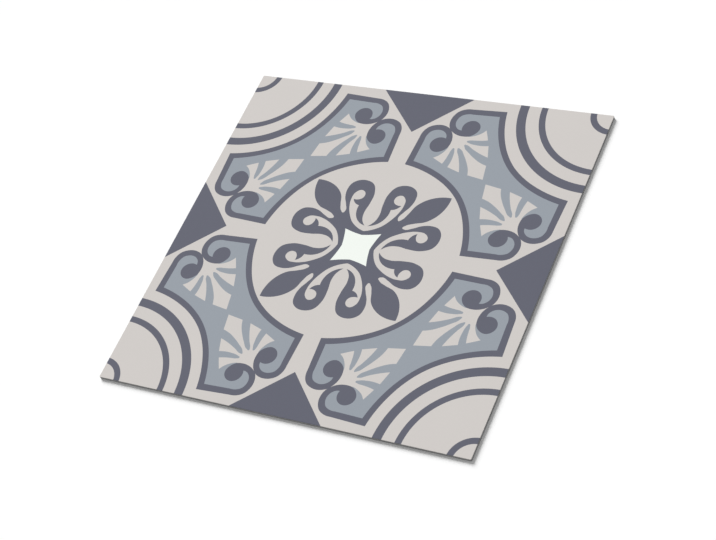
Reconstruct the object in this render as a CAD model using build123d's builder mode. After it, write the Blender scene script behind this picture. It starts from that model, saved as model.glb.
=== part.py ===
"""Self-adhesive wall tile: one thin printed sheet, 200 mm square, lying flat with its print up.

Frame: the origin is the middle of the adhesive back, +Z points out of the printed face, X and Y run
along the sides. The traditional ornament of the print is cut flush into the top face, one face for each
field of ink, so the sheet stays one solid with a level top.
"""

import os

from build123d import *
from build123d.topology import SkipClean

# Sheet, mm
tile_side = 200.0
tile_thickness = 1.5
corner_radius = 0.6
edge_round = 0.1

# Artwork, mm: drawn on a square of artwork_side, then printed to the side of the tile
artwork_side = 200.0
artwork_bleed = 1.0

# Quarter rings round each corner of the artwork
small_ring_radius = 9.6
small_ring_width = 3.25
middle_ring_radius = 35.15
middle_ring_width = 3.35
large_ring_radius = 45.1
large_ring_width = 4.75

# Half diamond at the middle of each side
diamond_reach = 26.2

# Cartouche in each quarter: a dark band round a blue field, with two arches and a pair of scrolls at each
# end. It is drawn about its own middle with its length along X, and its points are those of a quarter of it.
cartouche_distance = 70.4
arch = [(34.8, 28.9), (20.0, 20.5), (10.0, 17.4), (0.0, 16.3)]
scroll_back = [(47.4, 15.0), (49.6, 12.0), (50.4, 8.7), (49.5, 5.2), (46.9, 1.9), (42.8, 0.0)]
field_arch = [(34.2, 24.3), (24.0, 18.7), (12.0, 14.7), (0.0, 13.3)]
scroll_inside = [(44.1, 13.7), (46.3, 10.9), (46.9, 8.7), (46.3, 6.4), (44.4, 4.1), (41.6, 3.1), (37.9, 4.5)]
scroll_ball_top = (36.5, 13.9)
scroll_neck = [(31.5, 9.2), (31.9, 5.9), (33.6, 3.5), (36.1, 1.5), (41.0, 0.0)]

# Palmette in each half of the field: one side of it, from its tip to its root under the scrolls.
# Each run of points goes on from the end of the run before.
palmette_tip = (1.8, 0.0)
first_leaflet_end = (9.0, 5.2)
inner_slit_out = [(12.5, 3.4), (17.1, 2.1), (21.9, 1.3), (26.6, 1.1), (28.1, 1.9)]
inner_slit_back = [(27.2, 2.7), (22.9, 4.0), (18.4, 5.6), (13.3, 8.0)]
second_leaflet_end = (20.0, 11.5)
outer_slit_out = [(22.0, 8.8), (24.6, 6.3), (27.6, 4.2), (29.5, 3.7)]
outer_slit_back = [(29.0, 5.4), (27.5, 7.3), (25.3, 10.1), (23.6, 12.8)]
third_leaflet_end = [(26.7, 13.9), (30.1, 15.0)]
third_leaflet_back = [(29.7, 11.9), (30.4, 8.4), (31.6, 5.8)]
palmette_root = [(36.0, 3.0), (41.5, 0.0)]

# Rosette in the middle: an eighth of its outline, from the Y axis to the tip of the leaf on the diagonal.
# Each run of points goes on from the end of the run before.
strip_start = (0.0, 10.1)
strip_edge = [(4.2, 11.7), (8.3, 14.6), (11.3, 18.6), (13.5, 23.1), (14.6, 28.0), (13.9, 32.6), (11.3, 34.5)]
eye_edge = [(8.7, 33.1), (8.6, 30.1), (11.0, 28.4), (13.3, 28.4)]
hook_edge = [(11.7, 26.2), (8.9, 25.0)]
comma_inside = [(8.4, 20.0), (5.7, 15.8), (0.8, 13.4)]
comma_outside = [(3.6, 17.1), (4.3, 21.0), (3.6, 27.0), (3.8, 34.0), (6.5, 39.2), (11.2, 40.9)]
comma_back = [(15.3, 40.2), (18.2, 37.8), (19.2, 33.5), (18.2, 28.5), (16.1, 24.6), (14.7, 20.6)]
slit_end = [(15.4, 19.2), (17.1, 20.4)]
leaf_edge = [(18.9, 24.0), (21.0, 29.6), (25.1, 33.9), (30.4, 36.5), (37.3, 37.3)]
star_edge = [(0.0, 7.7), (5.0, 8.6), (10.0, 10.0)]

# Planes of the print and of its symmetry, and the sizes that follow from those above
print_plane = Plane.XY.offset(tile_thickness)
diagonal = Plane(origin=(0, 0, 0), z_dir=(1, -1, 0))
mid_depth = tile_thickness / 2
print_scale = tile_side / artwork_side
artwork_corner = artwork_side / 2 + artwork_bleed
printed_side = (tile_side - 2 * edge_round) / print_scale


def across(half):
    """Points of a whole arch across the Y axis, from the half of it that ends on the axis."""
    return half + [(-x, y) for x, y in reversed(half[:-1])]


def spline_runs(start, *runs):
    """Draws a spline through each run of points, from the end of the run before."""
    for run in runs:
        Spline(start, *run)
        start = run[-1]


# Field of one cartouche, with the palmettes still filled in
with BuildSketch() as field:
    with BuildLine():
        Line(field_arch[0], scroll_inside[0])
        Spline(*scroll_inside)
        ThreePointArc(scroll_inside[-1], scroll_ball_top, scroll_neck[0])
        Spline(*scroll_neck)
        mirror(about=Plane.YZ)
        Spline(*across(field_arch))
        mirror(about=Plane.XZ)
    make_face()

# Dark band round it
with BuildSketch() as band:
    with BuildLine():
        Line(arch[0], scroll_back[0])
        Spline(*scroll_back)
        mirror(about=Plane.YZ)
        Spline(*across(arch))
        mirror(about=Plane.XZ)
    make_face()
    add(field.sketch, mode=Mode.SUBTRACT)

# Both palmettes of the field, in the colour of the ground
with BuildSketch() as palmettes:
    with BuildLine():
        Line(palmette_tip, first_leaflet_end)
        spline_runs(first_leaflet_end, inner_slit_out, inner_slit_back)
        Line(inner_slit_back[-1], second_leaflet_end)
        spline_runs(second_leaflet_end, outer_slit_out, outer_slit_back)
        spline_runs(outer_slit_back[-1], third_leaflet_end, third_leaflet_back)
        Polyline(third_leaflet_back[-1], *palmette_root)
        mirror(about=Plane.XZ)
    make_face()
    mirror(about=Plane.YZ)

# Star, and the rosette round it
with BuildSketch() as star:
    with BuildLine():
        Spline(*star_edge)
        mirror(about=diagonal)
        mirror(about=Plane.YZ)
        mirror(about=Plane.XZ)
    make_face()

with BuildSketch() as rosette:
    with BuildLine():
        spline_runs(strip_start, strip_edge, eye_edge, hook_edge, comma_inside)
        spline_runs(comma_inside[-1], comma_outside, comma_back, slit_end, leaf_edge)
        mirror(about=diagonal)
        mirror(about=Plane.YZ)
        mirror(about=Plane.XZ)
    make_face()
    add(star.sketch, mode=Mode.SUBTRACT)

# All the dark ink
with BuildSketch(print_plane) as dark_ink:
    with GridLocations(2 * artwork_corner, 2 * artwork_corner, 2, 2):
        Circle(large_ring_radius + large_ring_width)
        Circle(large_ring_radius, mode=Mode.SUBTRACT)
        Circle(middle_ring_radius + middle_ring_width)
        Circle(middle_ring_radius, mode=Mode.SUBTRACT)
        Circle(small_ring_radius + small_ring_width)
        Circle(small_ring_radius, mode=Mode.SUBTRACT)
    with PolarLocations(artwork_corner, 4):
        RegularPolygon(diamond_reach, 4)
    with PolarLocations(cartouche_distance, 4, start_angle=45):
        add(band.sketch, rotation=90)
    add(rosette.sketch)
    Rectangle(printed_side, printed_side, mode=Mode.INTERSECT)
    scale(by=print_scale)

# The blue fields and the white star
with BuildSketch() as blue_field:
    add(field.sketch)
    add(palmettes.sketch, mode=Mode.SUBTRACT)

with BuildSketch(print_plane) as pale_ink:
    with PolarLocations(cartouche_distance, 4, start_angle=45):
        add(blue_field.sketch, rotation=90)
    add(star.sketch)
    scale(by=print_scale)

# The sheet, with the outlines of the ink fields cut flush into its face, by prisms that end inside the sheet
with BuildPart() as wall_tile:
    with BuildSketch():
        RectangleRounded(tile_side, tile_side, corner_radius)
    extrude(amount=tile_thickness)
    fillet(wall_tile.faces().sort_by(Axis.Z)[-1].edges(), edge_round)
    with SkipClean():
        for ink in (dark_ink, pale_ink):
            extrude(ink.sketch, amount=-mid_depth, clean=False)

wall_tile.part.label = "wall_tile"
os.makedirs("parts", exist_ok=True)
export_step(wall_tile.part, "parts/wall_tile.step")
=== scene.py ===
"""Self-adhesive wall tile: a thin square of matte printed vinyl that lies flat with its print up.

The tile is one closed mesh. Its face is cut along the outlines of the traditional ornament, so every field
of ink is geometry with a finish of its own. Lengths are metres, and artwork points are millimetres.
"""

from math import ceil, cos, pi, radians, sin

import bmesh
import bpy
from bpy.props import FloatProperty, FloatVectorProperty, PointerProperty
from mathutils import Matrix, Vector
from mathutils.geometry import delaunay_2d_cdt, interpolate_bezier


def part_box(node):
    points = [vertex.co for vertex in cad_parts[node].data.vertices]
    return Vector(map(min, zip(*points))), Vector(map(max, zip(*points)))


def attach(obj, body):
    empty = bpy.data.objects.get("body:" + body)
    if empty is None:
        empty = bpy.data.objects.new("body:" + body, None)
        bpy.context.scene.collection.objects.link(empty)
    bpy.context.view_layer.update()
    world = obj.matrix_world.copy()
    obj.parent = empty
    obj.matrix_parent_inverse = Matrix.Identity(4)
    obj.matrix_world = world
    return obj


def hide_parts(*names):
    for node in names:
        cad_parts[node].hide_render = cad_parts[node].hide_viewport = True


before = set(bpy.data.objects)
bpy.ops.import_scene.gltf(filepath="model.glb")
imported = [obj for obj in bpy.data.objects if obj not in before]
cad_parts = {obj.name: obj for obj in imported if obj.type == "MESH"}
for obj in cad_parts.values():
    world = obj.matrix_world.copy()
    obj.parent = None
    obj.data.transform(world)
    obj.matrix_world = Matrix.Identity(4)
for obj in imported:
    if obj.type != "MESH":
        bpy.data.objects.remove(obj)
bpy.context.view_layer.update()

bl_info = {
    "name": "Self-adhesive wall tile",
    "version": (1, 0, 0),
    "blender": (4, 5, 0),
    "location": "3D View > Sidebar > Wall tile",
    "description": "Makes a printed self-adhesive wall tile and the stage it is shown on",
    "category": "Object",
}

NODE = "wall_tile"
LOW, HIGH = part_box(NODE)
MM = 0.001

# Close points along a curve are this far apart, mm, with at least this many steps between two artwork points
CURVE_STEP = 0.4
LEAST_STEPS = 2

# Points nearer than this are the same point, mm
SAME_POINT = 0.002

# The triangulation's mode that gives the triangles inside the outlines
INSIDE_TRIANGLES = 1

# Facets of the rounded edge, and of each corner of the cut
RIM_STEPS = 4
CORNER_STEPS = 6

# Artwork points, mm. The cartouche lies across the diagonal of its quarter: u runs along it and v across it,
# from its middle, and its points fill the quarter where both are positive.
OUTER_ARCH = [(34.8, 28.9), (20.0, 20.5), (10.0, 17.4), (0.0, 16.3)]
OUTER_SCROLL = [(47.4, 15.0), (49.6, 12.0), (50.4, 8.7), (49.5, 5.2), (46.9, 1.9), (42.8, 0.0)]
FIELD_ARCH = [(34.2, 24.3), (24.0, 18.7), (12.0, 14.7), (0.0, 13.3)]
FIELD_SCROLL = [
    (44.1, 13.7), (46.3, 10.9), (46.9, 8.7), (46.3, 6.4), (44.4, 4.1), (41.6, 3.1), (39.2, 3.5), (37.9, 4.5),
]
SCROLL_BALL = [
    (37.9, 4.5), (39.8, 5.8), (41.1, 9.1), (39.8, 12.4), (36.5, 13.9), (33.3, 12.9), (31.5, 9.2), (31.9, 5.9),
    (33.6, 3.5), (36.1, 1.5), (41.0, 0.0),
]

# Palmette from its tip to its root: straight leaflet ends, and slits between the leaflets
PALMETTE_TIP = (1.8, 0.0)
INNER_SLIT = [
    (9.0, 5.2), (12.5, 3.4), (17.1, 2.1), (21.9, 1.3), (26.6, 1.1), (28.1, 1.9), (27.2, 2.7), (22.9, 4.0),
    (18.4, 5.6), (13.3, 8.0),
]
OUTER_SLIT = [
    (20.0, 11.5), (22.0, 8.8), (24.6, 6.3), (27.6, 4.2), (29.5, 3.7), (29.0, 5.4), (27.5, 7.3), (25.3, 10.1),
    (23.6, 12.8),
]
LEAFLET_END = [(23.6, 12.8), (26.7, 13.9), (30.1, 15.0)]
LEAFLET_BACK = [(30.1, 15.0), (29.7, 11.9), (30.4, 8.4), (31.6, 5.8)]
PALMETTE_ROOT = [(36.0, 3.0), (41.5, 0.0)]

# Rosette, an eighth of it from the Y axis to the tip of the leaf on the diagonal
STRIP_EDGE = [
    (0.0, 10.1), (4.2, 11.7), (8.3, 14.6), (11.3, 18.6), (13.5, 23.1), (14.6, 28.0), (13.9, 32.6),
    (11.3, 34.5), (8.7, 33.1), (8.6, 30.1), (11.0, 28.4), (13.3, 28.4),
]
HOOK_EDGE = [(13.3, 28.4), (11.7, 26.2), (8.9, 25.0)]
COMMA_INSIDE = [(8.9, 25.0), (8.4, 20.0), (5.7, 15.8), (0.8, 13.4)]
COMMA_AND_LEAF = [
    (0.8, 13.4), (3.6, 17.1), (4.3, 21.0), (3.6, 27.0), (3.8, 34.0), (6.5, 39.2), (11.2, 40.9),
    (15.3, 40.2), (18.2, 37.8), (19.2, 33.5), (18.2, 28.5), (16.1, 24.6), (14.7, 20.6), (15.4, 19.2),
    (17.1, 20.4), (18.9, 24.0), (21.0, 29.6), (25.1, 33.9), (30.4, 36.5), (37.3, 37.3),
]
STAR_EDGE = [(0.0, 7.7), (5.0, 8.6), (10.0, 10.0)]

ACROSS_U = Vector((-1, 1))
ACROSS_V = Vector((1, -1))

# Finishes in the order of the tile's materials
FINISHES = ("ground", "slate", "blue", "star", "rim", "back")

# The middle of a noise that goes from 0 to 1
NOISE_MIDDLE = 0.5

# Bake map: the corner of each finish's cell in the unit square, so that no two inks meet in the map.
# The rim's four sides are strips above the back, with a margin between them.
CELL = 0.5
CELL_FILL = 0.98
CELL_OF = {
    "ground": (0.0, 0.0),
    "slate": (CELL, 0.0),
    "blue": (0.0, CELL),
    "star": (0.0, CELL),
    "back": (CELL, CELL),
}
BACK_SHARE = 0.88
STRIP_MARGIN = 0.1


def length(name, description, default):
    """A length that the user can change."""
    return FloatProperty(
        name=name, description=description, default=default, min=0.0, precision=5, unit="LENGTH"
    )


def angle(name, description, degrees):
    """An angle that the user can change."""
    return FloatProperty(name=name, description=description, default=radians(degrees), subtype="ANGLE")


def colour(name, description, default):
    """A colour that the user can change."""
    return FloatVectorProperty(
        name=name, description=description, default=default, size=3, min=0.0, max=1.0, subtype="COLOR"
    )


def share(name, description, default):
    """A share between nothing and all that the user can change."""
    return FloatProperty(
        name=name, description=description, default=default, min=0.0, max=1.0, subtype="FACTOR"
    )


class SheetSettings(bpy.types.PropertyGroup):
    """Sizes of the cut sheet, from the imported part"""

    side: length("Side", "Side of the square sheet", HIGH.x - LOW.x)
    thickness: length("Thickness", "Thickness of the sheet", HIGH.z - LOW.z)
    corner_radius: length("Corner radius", "Radius of the cut at each corner", 0.6 * MM)
    edge_round: length("Edge round", "Radius along the upper edge", 0.1 * MM)


class OrnamentSettings(bpy.types.PropertyGroup):
    """Sizes of the round and straight figures of the print"""

    artwork_side: length("Artwork side", "Side of the square that the artwork is drawn on", 200 * MM)
    bleed: length("Bleed", "How far past the cut the rings and diamonds have their middle", 1.0 * MM)
    small_ring: length("Small ring", "Inner radius of the smallest corner ring", 9.6 * MM)
    small_ring_width: length("Small ring width", "Width of the smallest corner ring", 3.25 * MM)
    middle_ring: length("Middle ring", "Inner radius of the middle corner ring", 35.15 * MM)
    middle_ring_width: length("Middle ring width", "Width of the middle corner ring", 3.35 * MM)
    large_ring: length("Large ring", "Inner radius of the largest corner ring", 45.1 * MM)
    large_ring_width: length("Large ring width", "Width of the largest corner ring", 4.75 * MM)
    diamond_reach: length("Diamond reach", "From the middle of a diamond to its points", 26.2 * MM)
    cartouche_distance: length("Cartouche distance", "From the tile's middle to a cartouche's", 70.4 * MM)
    print_offset: FloatVectorProperty(
        name="Print offset",
        description="How far the print lies off the middle of the sheet",
        default=(-0.08 * MM, -0.37 * MM),
        size=2,
        precision=5,
        subtype="XYZ",
        unit="LENGTH",
    )


class FinishSettings(bpy.types.PropertyGroup):
    """Colours of the inks and of the sheet, and the grain of its matte film"""

    ground: colour("Ground", "Warm light grey of the ground", (0.629, 0.598, 0.575))
    slate: colour("Slate", "Dark slate of the figures", (0.125, 0.129, 0.165))
    blue: colour("Blue", "Blue-grey of the cartouche fields", (0.313, 0.345, 0.386))
    star: colour("Star", "White of the star", (0.887, 0.930, 0.879))
    # Partly painted shade: the vinyl core's grey is set dark so the cut edge renders as dark as the shadow
    # line along the tile's edges
    core: colour("Core", "Vinyl core where the sheet is cut", (0.30, 0.30, 0.30))
    backing: colour("Backing", "Adhesive back", (0.70, 0.69, 0.64))
    tone: share("Tone", "How far the print varies in tone", 0.03)
    grain_share: share("Grain share", "Share of that change which is grain, the rest being clouds", 0.6)
    grain: length("Grain", "Size of the film's grain", 0.45 * MM)
    clouding: length("Clouding", "Size of the print's slow change of tone", 22 * MM)
    relief: length("Relief", "Depth of the film's grain", 0.012 * MM)
    film_roughness: share("Film roughness", "Roughness of the matte film", 0.72)
    film_shine: share("Film shine", "Specular level of the matte film", 0.06)
    roughness_spread: share("Roughness spread", "How far roughness varies with the grain", 0.1)
    knife_mark: length("Knife mark", "Width of the upright marks along the cut", 0.22 * MM)
    knife_tone: share("Knife tone", "How far the cut varies in tone", 0.06)
    streak: length("Streak", "Width of the streaks in the adhesive", 3 * MM)
    streak_tone: share("Streak tone", "How far the adhesive varies in tone", 0.08)
    peel: length("Peel", "Size of the adhesive's orange peel", 1.35 * MM)
    peel_depth: length("Peel depth", "Depth of the adhesive's orange peel", 0.03 * MM)
    drawn_out: FloatProperty(
        name="Drawn out",
        description="How many times longer than wide marks and streaks are",
        default=18.0,
        min=1.0,
    )
    back_roughness: share("Back roughness", "Roughness of the adhesive", 0.42)
    back_shine: share("Back shine", "Specular level of the adhesive", 0.5)


class StageSettings(bpy.types.PropertyGroup):
    """Camera, floor and light"""

    camera_place: FloatVectorProperty(
        name="Camera place",
        description="Where the camera stands",
        default=(0.3861, -0.4208, 0.6427),
        size=3,
        subtype="TRANSLATION",
        unit="LENGTH",
    )
    camera_turn: angle("Camera turn", "Camera's turn about the vertical, from a view along +Y", 46.48)
    camera_tilt: angle("Camera tilt", "How steeply the camera looks down", 48.15)
    camera_roll: angle("Camera roll", "Camera's turn about its own line of sight", -27.96)
    lens: FloatProperty(name="Lens", description="Focal length", default=88.01, min=1.0, unit="CAMERA")
    shift_right: FloatProperty(name="Shift right", description="Lens shift along the picture", default=0.1061)
    shift_up: FloatProperty(name="Shift up", description="Lens shift up the picture", default=0.0112)
    light_turn: angle("Light turn", "Direction the light goes to, from +X towards +Y", -42.0)
    light_height: angle("Light height", "Height of the light above the floor", 28.0)
    light_spread: angle("Light spread", "Width of the light, which softens its shadow", 28.0)
    light_level: share("Light level", "Share of the floor's brightness that the light gives", 0.66)
    sky_level: share("Sky level", "Share of the floor's brightness that the surroundings give", 0.34)
    floor_side: length("Floor side", "Side of the square floor", 8.0)
    floor_white: colour("Floor", "White of the floor", (1.0, 1.0, 1.0))
    floor_lift: share("Floor lift", "Brightness that the floor has of its own in the picture", 0.01)


class Wire:
    """An output of a shader: sums on it add Math nodes, and node() adds any other node to its tree."""

    def __init__(self, tree, socket=None):
        self.tree = tree
        self.socket = socket

    def node(self, kind, settings, inputs, output=0):
        """Adds a node, makes its settings, fills or links its inputs, and gives one of its outputs."""
        made = self.tree.nodes.new(kind)
        for name, setting in settings.items():
            setattr(made, name, setting)
        for name, value in inputs.items():
            if isinstance(value, Wire):
                self.tree.links.new(value.socket, made.inputs[name])
            else:
                made.inputs[name].default_value = value
        return Wire(self.tree, made.outputs[output] if made.outputs else None)

    def maths(self, operation, first, second):
        """A Math node on two values."""
        return self.node("ShaderNodeMath", {"operation": operation}, {0: first, 1: second})

    def __add__(self, other):
        return self.maths("ADD", self, other)

    def __sub__(self, other):
        return self.maths("SUBTRACT", self, other)

    def __rsub__(self, other):
        return self.maths("SUBTRACT", other, self)

    def __mul__(self, other):
        return self.maths("MULTIPLY", self, other)

    __radd__ = __add__
    __rmul__ = __mul__


def new_material(name):
    """An empty material and the wire that its nodes are added from."""
    material = bpy.data.materials.new(name)
    material.use_nodes = True
    material.node_tree.nodes.clear()
    return material, Wire(material.node_tree)


def noise(wire, place, size):
    """Noise between 0 and 1 whose patches are about the given size."""
    return wire.node("ShaderNodeTexNoise", {}, {"Vector": place, "Scale": 1 / size})


def stretched(wire, place, ways):
    """A place measured with its own scale along each axis."""
    return wire.node("ShaderNodeVectorMath", {"operation": "MULTIPLY"}, {0: place, 1: ways})


def two_tones(wire, base, spread, mask):
    """A colour that goes from a shade below base to a shade above it, as the mask goes from 0 to 1."""
    dark = [value * (1 - spread) for value in base]
    light = [min(1.0, value * (1 + spread)) for value in base]
    return wire.node(
        "ShaderNodeMix",
        {"data_type": "RGBA"},
        {"Factor": mask, "A": (*dark, 1.0), "B": (*light, 1.0)},
        output="Result",
    )


def surface(wire, base, roughness, specular, height, depth):
    """The shader of a finish, with a bump of the given depth."""
    bump = wire.node(
        "ShaderNodeBump", {}, {"Strength": 1.0, "Distance": depth, "Height": height}, output="Normal"
    )
    shader = wire.node(
        "ShaderNodeBsdfPrincipled",
        {},
        {"Base Color": base, "Roughness": roughness, "Specular IOR Level": specular, "Normal": bump},
    )
    wire.node("ShaderNodeOutputMaterial", {}, {"Surface": shader})


def printed_ink(name, ink, finish):
    """Ink under a matte film: a fine grain, a slow change of tone and a shallow stipple."""
    material, wire = new_material(name)
    place = wire.node("ShaderNodeTexCoord", {}, {}, output="Object")
    grain = noise(wire, place, finish.grain)
    clouds = noise(wire, place, finish.clouding)
    base = two_tones(wire, ink, finish.tone, finish.grain_share * grain + (1 - finish.grain_share) * clouds)
    roughness = finish.film_roughness + finish.roughness_spread * (grain - NOISE_MIDDLE)
    surface(wire, base, roughness, finish.film_shine, grain, finish.relief)
    return material


def cut_vinyl(finish):
    """The vinyl core along the cut: fine upright knife marks, on a grey that is partly painted shade,
    darkened so the cut renders as dark as the shadow line along the tile's edges.
    """
    material, wire = new_material("cut_vinyl")
    place = wire.node("ShaderNodeTexCoord", {}, {}, output="Object")
    marks = noise(wire, stretched(wire, place, (1.0, 1.0, 1 / finish.drawn_out)), finish.knife_mark)
    # The core grey is partly painted shade, darkened to match the shadow line along the edges
    base = two_tones(wire, finish.core, finish.knife_tone, marks)
    roughness = finish.film_roughness + finish.roughness_spread * (marks - NOISE_MIDDLE)
    surface(wire, base, roughness, finish.film_shine, marks, finish.relief)
    return material


def adhesive_back(finish):
    """The adhesive back: an even coat with long faint streaks and a fine orange peel."""
    material, wire = new_material("adhesive_back")
    place = wire.node("ShaderNodeTexCoord", {}, {}, output="Object")
    streaks = noise(wire, stretched(wire, place, (1.0, 1 / finish.drawn_out, 1.0)), finish.streak)
    peel = noise(wire, place, finish.peel)
    base = two_tones(wire, finish.backing, finish.streak_tone, streaks)
    roughness = finish.back_roughness + finish.roughness_spread * (streaks - NOISE_MIDDLE)
    surface(wire, base, roughness, finish.back_shine, peel, finish.peel_depth)
    return material


def smooth(points):
    """Close points along a smooth curve through the given ones, with one Bezier for each span.

    A point's slope is that of the circle through it and its neighbours, and a Bezier's handles are as long
    as those of an arc that turns as far.
    """
    knots = [Vector(point) for point in points]
    spans = [after - before for before, after in zip(knots, knots[1:])]
    slopes = []
    for before, after in zip(spans, spans[1:]):
        slopes.append((before.normalized() * after.length + after.normalized() * before.length).normalized())
    slopes.insert(0, -slopes[0].reflect(spans[0].normalized()))
    slopes.append(-slopes[-1].reflect(spans[-1].normalized()))
    curve = []
    for knot, span, slope, next_slope in zip(knots, spans, slopes, slopes[1:]):
        reach = span.length / (3 * cos(slope.angle(next_slope) / 4) ** 2)
        end = knot + span
        count = max(LEAST_STEPS, ceil(span.length / CURVE_STEP)) + 1
        curve += interpolate_bezier(knot, knot + slope * reach, end - next_slope * reach, end, count)[:-1]
    return curve + knots[-1:]


def mirrored(points, flip):
    """The mirror image of a run of points, in reverse, so that it carries on from the run's end."""
    return [point * flip for point in reversed(points)]


def arch(points):
    """A whole arch from the half of it that ends in the middle."""
    return smooth(points + [(-u, v) for u, v in reversed(points[:-1])])


def cartouche_outline(arch_points, scroll):
    """A closed outline from one arch and the scroll that joins it to the axis."""
    half = list(reversed(scroll)) + arch(arch_points) + [point * ACROSS_U for point in scroll]
    return half + mirrored(half, ACROSS_V)


def eightfold(eighth):
    """A closed outline round the middle from the eighth of it between the Y axis and the diagonal."""
    quarter = eighth + [point.yx for point in reversed(eighth)]
    outline = []
    for turn in range(4):
        outline += turned(quarter, -turn)
    return outline


def turned(points, quarters):
    """Points turned about the middle by a number of quarter turns."""
    turn = Matrix.Rotation(quarters * pi / 2, 2)
    return [turn @ point for point in points]


def circle(middle, radius):
    """Points round a circle."""
    count = ceil(2 * pi * radius / CURVE_STEP)
    steps = (2 * pi * step / count for step in range(count))
    return [middle + radius * Vector((cos(step), sin(step))) for step in steps]


def rounded_square(half, radius):
    """Points round a square with rounded corners."""
    outline = []
    for quarter in range(4):
        for step in range(CORNER_STEPS + 1):
            turn = (quarter + step / CORNER_STEPS) * pi / 2
            middle = Matrix.Rotation(quarter * pi / 2, 2) @ Vector((half - radius, half - radius))
            outline.append(middle + radius * Vector((cos(turn), sin(turn))))
    return outline


def corner_and_side_figures(ornament):
    """The edges of the rings in each corner and of the diamonds at the sides, mm."""
    outlines = []
    reach = (ornament.artwork_side / 2 + ornament.bleed) / MM
    diamond = ornament.diamond_reach / MM
    rings = (
        (ornament.small_ring, ornament.small_ring_width),
        (ornament.middle_ring, ornament.middle_ring_width),
        (ornament.large_ring, ornament.large_ring_width),
    )
    for quarter in range(4):
        corner, side = turned([Vector((reach, reach)), Vector((reach, 0))], quarter)
        for radius, width in rings:
            outlines.append(circle(corner, radius / MM))
            outlines.append(circle(corner, (radius + width) / MM))
        outlines.append([side + diamond * Vector(way) for way in ((1, 0), (0, 1), (-1, 0), (0, -1))])
    return outlines


def cartouches(ornament):
    """The outlines of the four cartouches, of their fields and of their palmettes, mm."""
    band = cartouche_outline(OUTER_ARCH, smooth(OUTER_SCROLL))
    field = cartouche_outline(FIELD_ARCH, smooth(FIELD_SCROLL) + smooth(SCROLL_BALL)[1:])
    side = [Vector(PALMETTE_TIP)] + smooth(INNER_SLIT) + smooth(OUTER_SLIT) + smooth(LEAFLET_END)[1:]
    side += smooth(LEAFLET_BACK)[1:] + [Vector(point) for point in PALMETTE_ROOT]
    palmette = side + mirrored(side, ACROSS_V)
    middle = Vector((0, ornament.cartouche_distance / MM))
    found = {"band": [], "field": [], "palmette": []}
    for quarter in range(4):
        for name, outline in (
            ("band", band),
            ("field", field),
            ("palmette", palmette),
            ("palmette", mirrored(palmette, ACROSS_U)),
        ):
            found[name].append([place_in_quarter(point, middle, quarter) for point in outline])
    return found


def place_in_quarter(point, middle, quarter):
    """A cartouche's point, moved out along the diagonal of a quarter of the tile."""
    return Matrix.Rotation((quarter - 0.5) * pi / 2, 2) @ (middle + point)


def closed_loop(outline):
    """The outline in anticlockwise order, without the points that repeat the one before."""
    before = outline[-1:] + outline[:-1]
    loop = [point for point, last in zip(outline, before) if (point - last).length > SAME_POINT]
    area = sum(start.cross(end) for start, end in zip(loop, loop[1:] + loop[:1]))
    return loop if area > 0 else list(reversed(loop))


def face_layers(sheet, ornament):
    """Every outline of the face, with the layer it belongs to: the sheet first, in millimetres."""
    inset = sheet.edge_round / MM
    layers = [("sheet", rounded_square(sheet.side / MM / 2 - inset, sheet.corner_radius / MM - inset))]
    scale = sheet.side / ornament.artwork_side
    offset = Vector(ornament.print_offset) / MM
    eighth = smooth(STRIP_EDGE) + smooth(HOOK_EDGE) + smooth(COMMA_INSIDE) + smooth(COMMA_AND_LEAF)
    outlines_of = {
        "figure": corner_and_side_figures(ornament) + [eightfold(eighth)],
        "star": [eightfold(smooth(STAR_EDGE))],
        **cartouches(ornament),
    }
    for name, outlines in outlines_of.items():
        layers += [(name, [point * scale + offset for point in outline]) for outline in outlines]
    return layers


def ink_of(names):
    """The ink where these layers lie over each other: dark edges cancel out in pairs."""
    if sum(name in ("figure", "star", "band", "field") for name in names) % 2:
        return "slate"
    if "star" in names:
        return "star"
    if "field" in names and "palmette" not in names:
        return "blue"
    return "ground"


def printed_face(mesh, sheet, ornament):
    """Adds the top of the tile, cut along every outline, with each face in its ink."""
    layers = face_layers(sheet, ornament)
    places, loops = [], []
    for _, outline in layers:
        loop = closed_loop(outline)
        loops.append(range(len(places), len(places) + len(loop)))
        places += loop
    points, _, faces, _, _, origins = delaunay_2d_cdt(places, [], loops, INSIDE_TRIANGLES, SAME_POINT)
    corners = {}
    for face, origin in zip(faces, origins):
        if 0 not in origin:
            continue
        for index in face:
            if index not in corners:
                corners[index] = mesh.verts.new((*(points[index] * MM), sheet.thickness))
        made = mesh.faces.new([corners[index] for index in face])
        made.material_index = FINISHES.index(ink_of([layers[layer][0] for layer in origin]))


def outward(vert, sheet):
    """The direction out of the sheet at a point of its edge."""
    flat = sheet.side / 2 - sheet.corner_radius
    nearest = Vector((max(-flat, min(flat, vert.co.x)), max(-flat, min(flat, vert.co.y)), vert.co.z))
    return (vert.co - nearest).normalized()


def cut_rim(mesh, sheet):
    """Rolls the print over the edge, takes the cut down to the back and closes the back."""
    profile = []
    for step in range(1, RIM_STEPS + 1):
        turn = step / RIM_STEPS * pi / 2
        profile.append((sheet.edge_round * sin(turn), sheet.thickness - sheet.edge_round * (1 - cos(turn))))
    profile.append((sheet.edge_round, 0.0))
    edges = [edge for edge in mesh.edges if edge.is_boundary]
    out = 0.0
    for reach, height in profile:
        made = set(bmesh.ops.extrude_edge_only(mesh, edges=edges)["geom"])
        for edge in edges:
            inner, outer = sorted(edge.link_faces, key=made.__contains__)
            outer.material_index = inner.material_index if height else FINISHES.index("rim")
            outer.smooth = True
        edges = [part for part in made if isinstance(part, bmesh.types.BMEdge) and part.is_boundary]
        for vert in {vert for edge in edges for vert in edge.verts}:
            vert.co += outward(vert, sheet) * (reach - out)
            vert.co.z = height
        out = reach
    for edge in edges:
        edge.smooth = False
    for face in bmesh.ops.contextual_create(mesh, geom=edges)["faces"]:
        face.material_index = FINISHES.index("back")
        face.smooth = False


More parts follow.
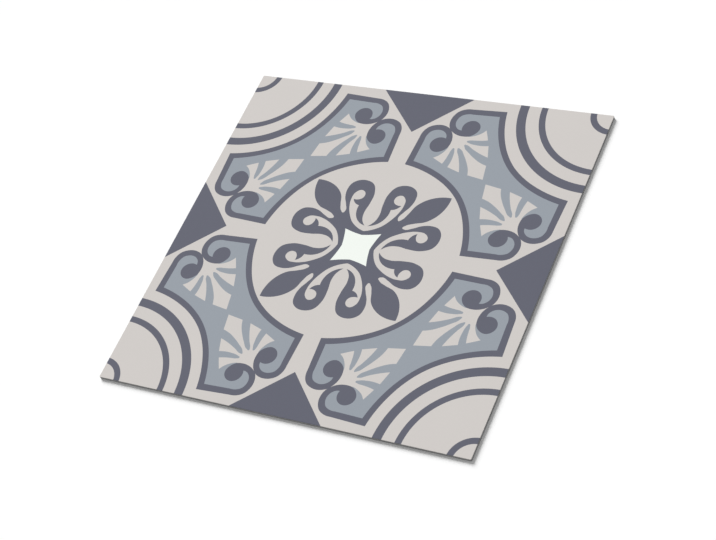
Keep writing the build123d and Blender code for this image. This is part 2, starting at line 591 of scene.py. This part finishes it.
def bake_place(face, vert, sheet):
    """Where a corner of a face lies in the bake map."""
    finish = FINISHES[face.material_index]
    across, along = (vert.co.xy / sheet.side + Vector((0.5, 0.5))) * CELL * CELL_FILL
    if finish == "back":
        left, low = CELL_OF["back"]
        return left + across * BACK_SHARE, low + along * BACK_SHARE
    if finish == "rim":
        left, low = CELL_OF["back"]
        ways = (face.normal.x, face.normal.y, -face.normal.x, -face.normal.y)
        side = ways.index(max(ways))
        run = (along, across)[side % 2]
        strip = CELL * (1 - BACK_SHARE) / 4
        rise = STRIP_MARGIN + (1 - 2 * STRIP_MARGIN) * vert.co.z / sheet.thickness
        return left + run * BACK_SHARE, low + CELL * BACK_SHARE + strip * (side + rise)
    left, low = CELL_OF[finish]
    return left + across, low + along


class WALLTILE_OT_printed_tile(bpy.types.Operator):
    """Make the tile: its printed face, its cut rim and its adhesive back"""

    bl_idname = "wall_tile.printed_tile"
    bl_label = "Printed tile"

    def execute(self, context):
        sheet = context.scene.wall_tile_sheet
        finish = context.scene.wall_tile_finish
        mesh = bmesh.new()
        printed_face(mesh, sheet, context.scene.wall_tile_ornament)
        cut_rim(mesh, sheet)
        bmesh.ops.recalc_face_normals(mesh, faces=mesh.faces)
        bake_map = mesh.loops.layers.uv.new("OFBake")
        for face in mesh.faces:
            for loop in face.loops:
                loop[bake_map].uv = bake_place(face, loop.vert, sheet)
        data = bpy.data.meshes.new("printed_tile")
        mesh.to_mesh(data)
        mesh.free()
        for name in ("ground", "slate", "blue", "star"):
            data.materials.append(printed_ink(name + "_ink", getattr(finish, name), finish))
        data.materials.append(cut_vinyl(finish))
        data.materials.append(adhesive_back(finish))
        tile = bpy.data.objects.new("printed_tile", data)
        context.scene.collection.objects.link(tile)
        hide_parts(NODE)
        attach(tile, "root")
        return {"FINISHED"}


def white_floor(stage):
    """A plain white floor that the tile lies on."""
    material, wire = new_material("white_floor")
    paint = wire.node("ShaderNodeBsdfDiffuse", {}, {"Color": (*stage.floor_white, 1.0)})
    seen = wire.node("ShaderNodeLightPath", {}, {}, output="Is Camera Ray")
    lift = wire.node("ShaderNodeEmission", {}, {"Strength": stage.floor_lift * seen})
    shader = wire.node("ShaderNodeAddShader", {}, {0: paint, 1: lift})
    wire.node("ShaderNodeOutputMaterial", {}, {"Surface": shader})
    half = stage.floor_side / 2
    data = bpy.data.meshes.new("floor")
    corners = [(-half, -half, LOW.z), (half, -half, LOW.z), (half, half, LOW.z), (-half, half, LOW.z)]
    data.from_pydata(corners, [], [(0, 1, 2, 3)])
    data.materials.append(material)
    floor = bpy.data.objects.new("floor", data)
    bpy.context.scene.collection.objects.link(floor)


def surroundings(stage):
    """A world that lights evenly at the sky level and looks white."""
    world = bpy.data.worlds.new("white_room")
    world.use_nodes = True
    world.node_tree.nodes.clear()
    wire = Wire(world.node_tree)
    shown = wire.node("ShaderNodeLightPath", {}, {}, output="Is Camera Ray")
    for ray in ("Is Glossy Ray", "Is Transmission Ray"):
        shown = wire.maths("MAXIMUM", shown, wire.node("ShaderNodeLightPath", {}, {}, output=ray))
    level = stage.sky_level + (1 - stage.sky_level) * shown
    background = wire.node("ShaderNodeBackground", {}, {"Color": (1.0, 1.0, 1.0, 1.0), "Strength": level})
    wire.node("ShaderNodeOutputWorld", {}, {"Surface": background})
    bpy.context.scene.world = world


def soft_light(stage):
    """One wide light from the back left, as strong as its share of the floor's brightness."""
    data = bpy.data.lights.new("soft_light", "SUN")
    data.energy = stage.light_level * pi / sin(stage.light_height)
    data.angle = stage.light_spread
    light = bpy.data.objects.new("soft_light", data)
    flat = cos(stage.light_height)
    way = Vector((flat * cos(stage.light_turn), flat * sin(stage.light_turn), -sin(stage.light_height)))
    light.rotation_euler = way.to_track_quat("-Z", "Y").to_euler()
    bpy.context.scene.collection.objects.link(light)


def camera(stage):
    """The camera, which looks down on the tile."""
    data = bpy.data.cameras.new("camera")
    data.lens = stage.lens
    data.shift_x = stage.shift_right
    data.shift_y = stage.shift_up
    made = bpy.data.objects.new("camera", data)
    turn = Matrix.Rotation(stage.camera_turn, 4, "Z")
    tilt = Matrix.Rotation(pi / 2 - stage.camera_tilt, 4, "X")
    roll = Matrix.Rotation(stage.camera_roll, 4, "Z")
    made.matrix_world = Matrix.Translation(stage.camera_place) @ turn @ tilt @ roll
    bpy.context.scene.collection.objects.link(made)
    bpy.context.scene.camera = made


class WALLTILE_OT_stage(bpy.types.Operator):
    """Set the stage: the floor, the light, the surroundings and the camera"""

    bl_idname = "wall_tile.stage"
    bl_label = "Stage"

    def execute(self, context):
        stage = context.scene.wall_tile_stage
        white_floor(stage)
        surroundings(stage)
        soft_light(stage)
        camera(stage)
        context.scene.view_settings.view_transform = "Standard"
        return {"FINISHED"}


class WALLTILE_PT_panel(bpy.types.Panel):
    """Lists the tile's operators and settings"""

    bl_idname = "WALLTILE_PT_panel"
    bl_label = "Wall tile"
    bl_space_type = "VIEW_3D"
    bl_region_type = "UI"
    bl_category = "Wall tile"

    def draw(self, context):
        for operator in (WALLTILE_OT_printed_tile, WALLTILE_OT_stage):
            self.layout.operator(operator.bl_idname)
        for name in SETTINGS:
            box = self.layout.box()
            settings = getattr(context.scene, name)
            for key in settings.__annotations__:
                box.prop(settings, key)


SETTINGS = {
    "wall_tile_sheet": SheetSettings,
    "wall_tile_ornament": OrnamentSettings,
    "wall_tile_finish": FinishSettings,
    "wall_tile_stage": StageSettings,
}
CLASSES = (*SETTINGS.values(), WALLTILE_OT_printed_tile, WALLTILE_OT_stage, WALLTILE_PT_panel)


def register():
    """Registers the classes and gives the scene their settings."""
    for listed in CLASSES:
        bpy.utils.register_class(listed)
    for name, settings in SETTINGS.items():
        setattr(bpy.types.Scene, name, PointerProperty(type=settings))


def unregister():
    """Takes the settings and the classes away again."""
    for name in SETTINGS:
        delattr(bpy.types.Scene, name)
    for listed in reversed(CLASSES):
        bpy.utils.unregister_class(listed)


def main():
    """Makes the tile and its stage."""
    register()
    bpy.ops.wall_tile.printed_tile()
    bpy.ops.wall_tile.stage()


if __name__ == "__main__":
    main()
